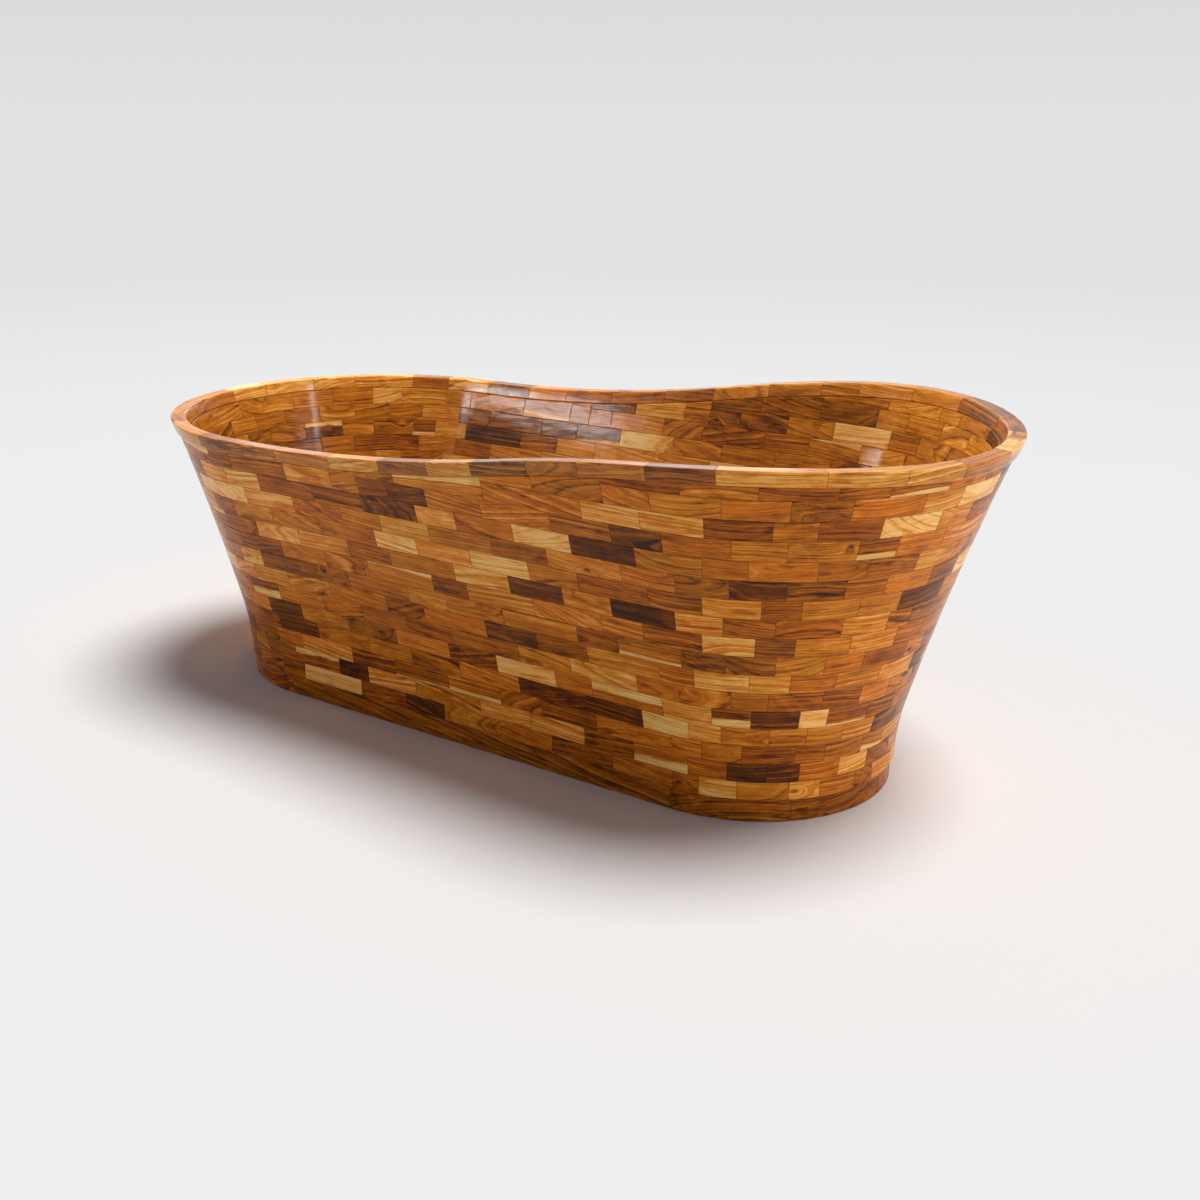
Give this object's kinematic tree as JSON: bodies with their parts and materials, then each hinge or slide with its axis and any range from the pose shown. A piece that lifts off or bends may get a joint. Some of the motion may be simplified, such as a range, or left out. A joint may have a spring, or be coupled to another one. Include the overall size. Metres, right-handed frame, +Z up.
{
  "type": "wooden bathtub",
  "caption": "Free-standing oval bathtub of staggered varnished hardwood blocks, flaring up from a low plinth, with one end of the rim higher and a lift-up waste plug.",
  "frame": {"origin": "on the ground under the middle of the overall length and width", "axes": "+X along the tub towards the high head end, +Y towards the back, +Z up"},
  "size_m": [1.7028, 0.8652, 0.632],
  "materials": {
    "wall_wood": "gloss varnish over mixed golden to dark brown blocks",
    "rim_wood": "gloss varnish",
    "plinth_wood": "gloss varnish",
    "floor_wood": "satin varnish",
    "polished_metal": "polished plating",
    "black_rubber": "matt"
  },
  "bodies": {
    "tub": {"plinth_front_board": "plinth_wood", "plinth_back_board": "plinth_wood", "plinth_end_pieces": "plinth_wood", "floor_bearer_1": "floor_wood", "floor_bearer_2": "floor_wood", "floor_bearer_3": "floor_wood", "floor_plank_1": "floor_wood", "floor_plank_2": "floor_wood", "floor_plank_3": "floor_wood", "floor_plank_4": "floor_wood", "floor_plank_5": "floor_wood", "wall_course_01": "wall_wood", "wall_course_02": "wall_wood", "wall_course_03": "wall_wood", "wall_course_04": "wall_wood", "wall_course_05": "wall_wood", "wall_course_06": "wall_wood", "wall_course_07": "wall_wood", "wall_course_08": "wall_wood", "wall_course_09": "wall_wood", "wall_course_10": "wall_wood", "wall_course_11": "wall_wood", "wall_course_12": "wall_wood", "wall_course_13": "wall_wood", "wall_course_14": "wall_wood", "wall_course_15": "wall_wood", "wall_course_16": "wall_wood", "wall_course_17": "wall_wood", "rim_pieces": "rim_wood", "waste_body": "polished_metal", "waste_lock_nut": "polished_metal"},
    "plug": {"plug_cap": "polished_metal", "plug_seal": "black_rubber", "plug_stem": "polished_metal"}
  },
  "joints": [
    {"name": "plug_lift", "type": "slide", "parent": "tub", "child": "plug", "axis": [0, 0, 1], "range_m": [0, 0.01]}
  ]
}
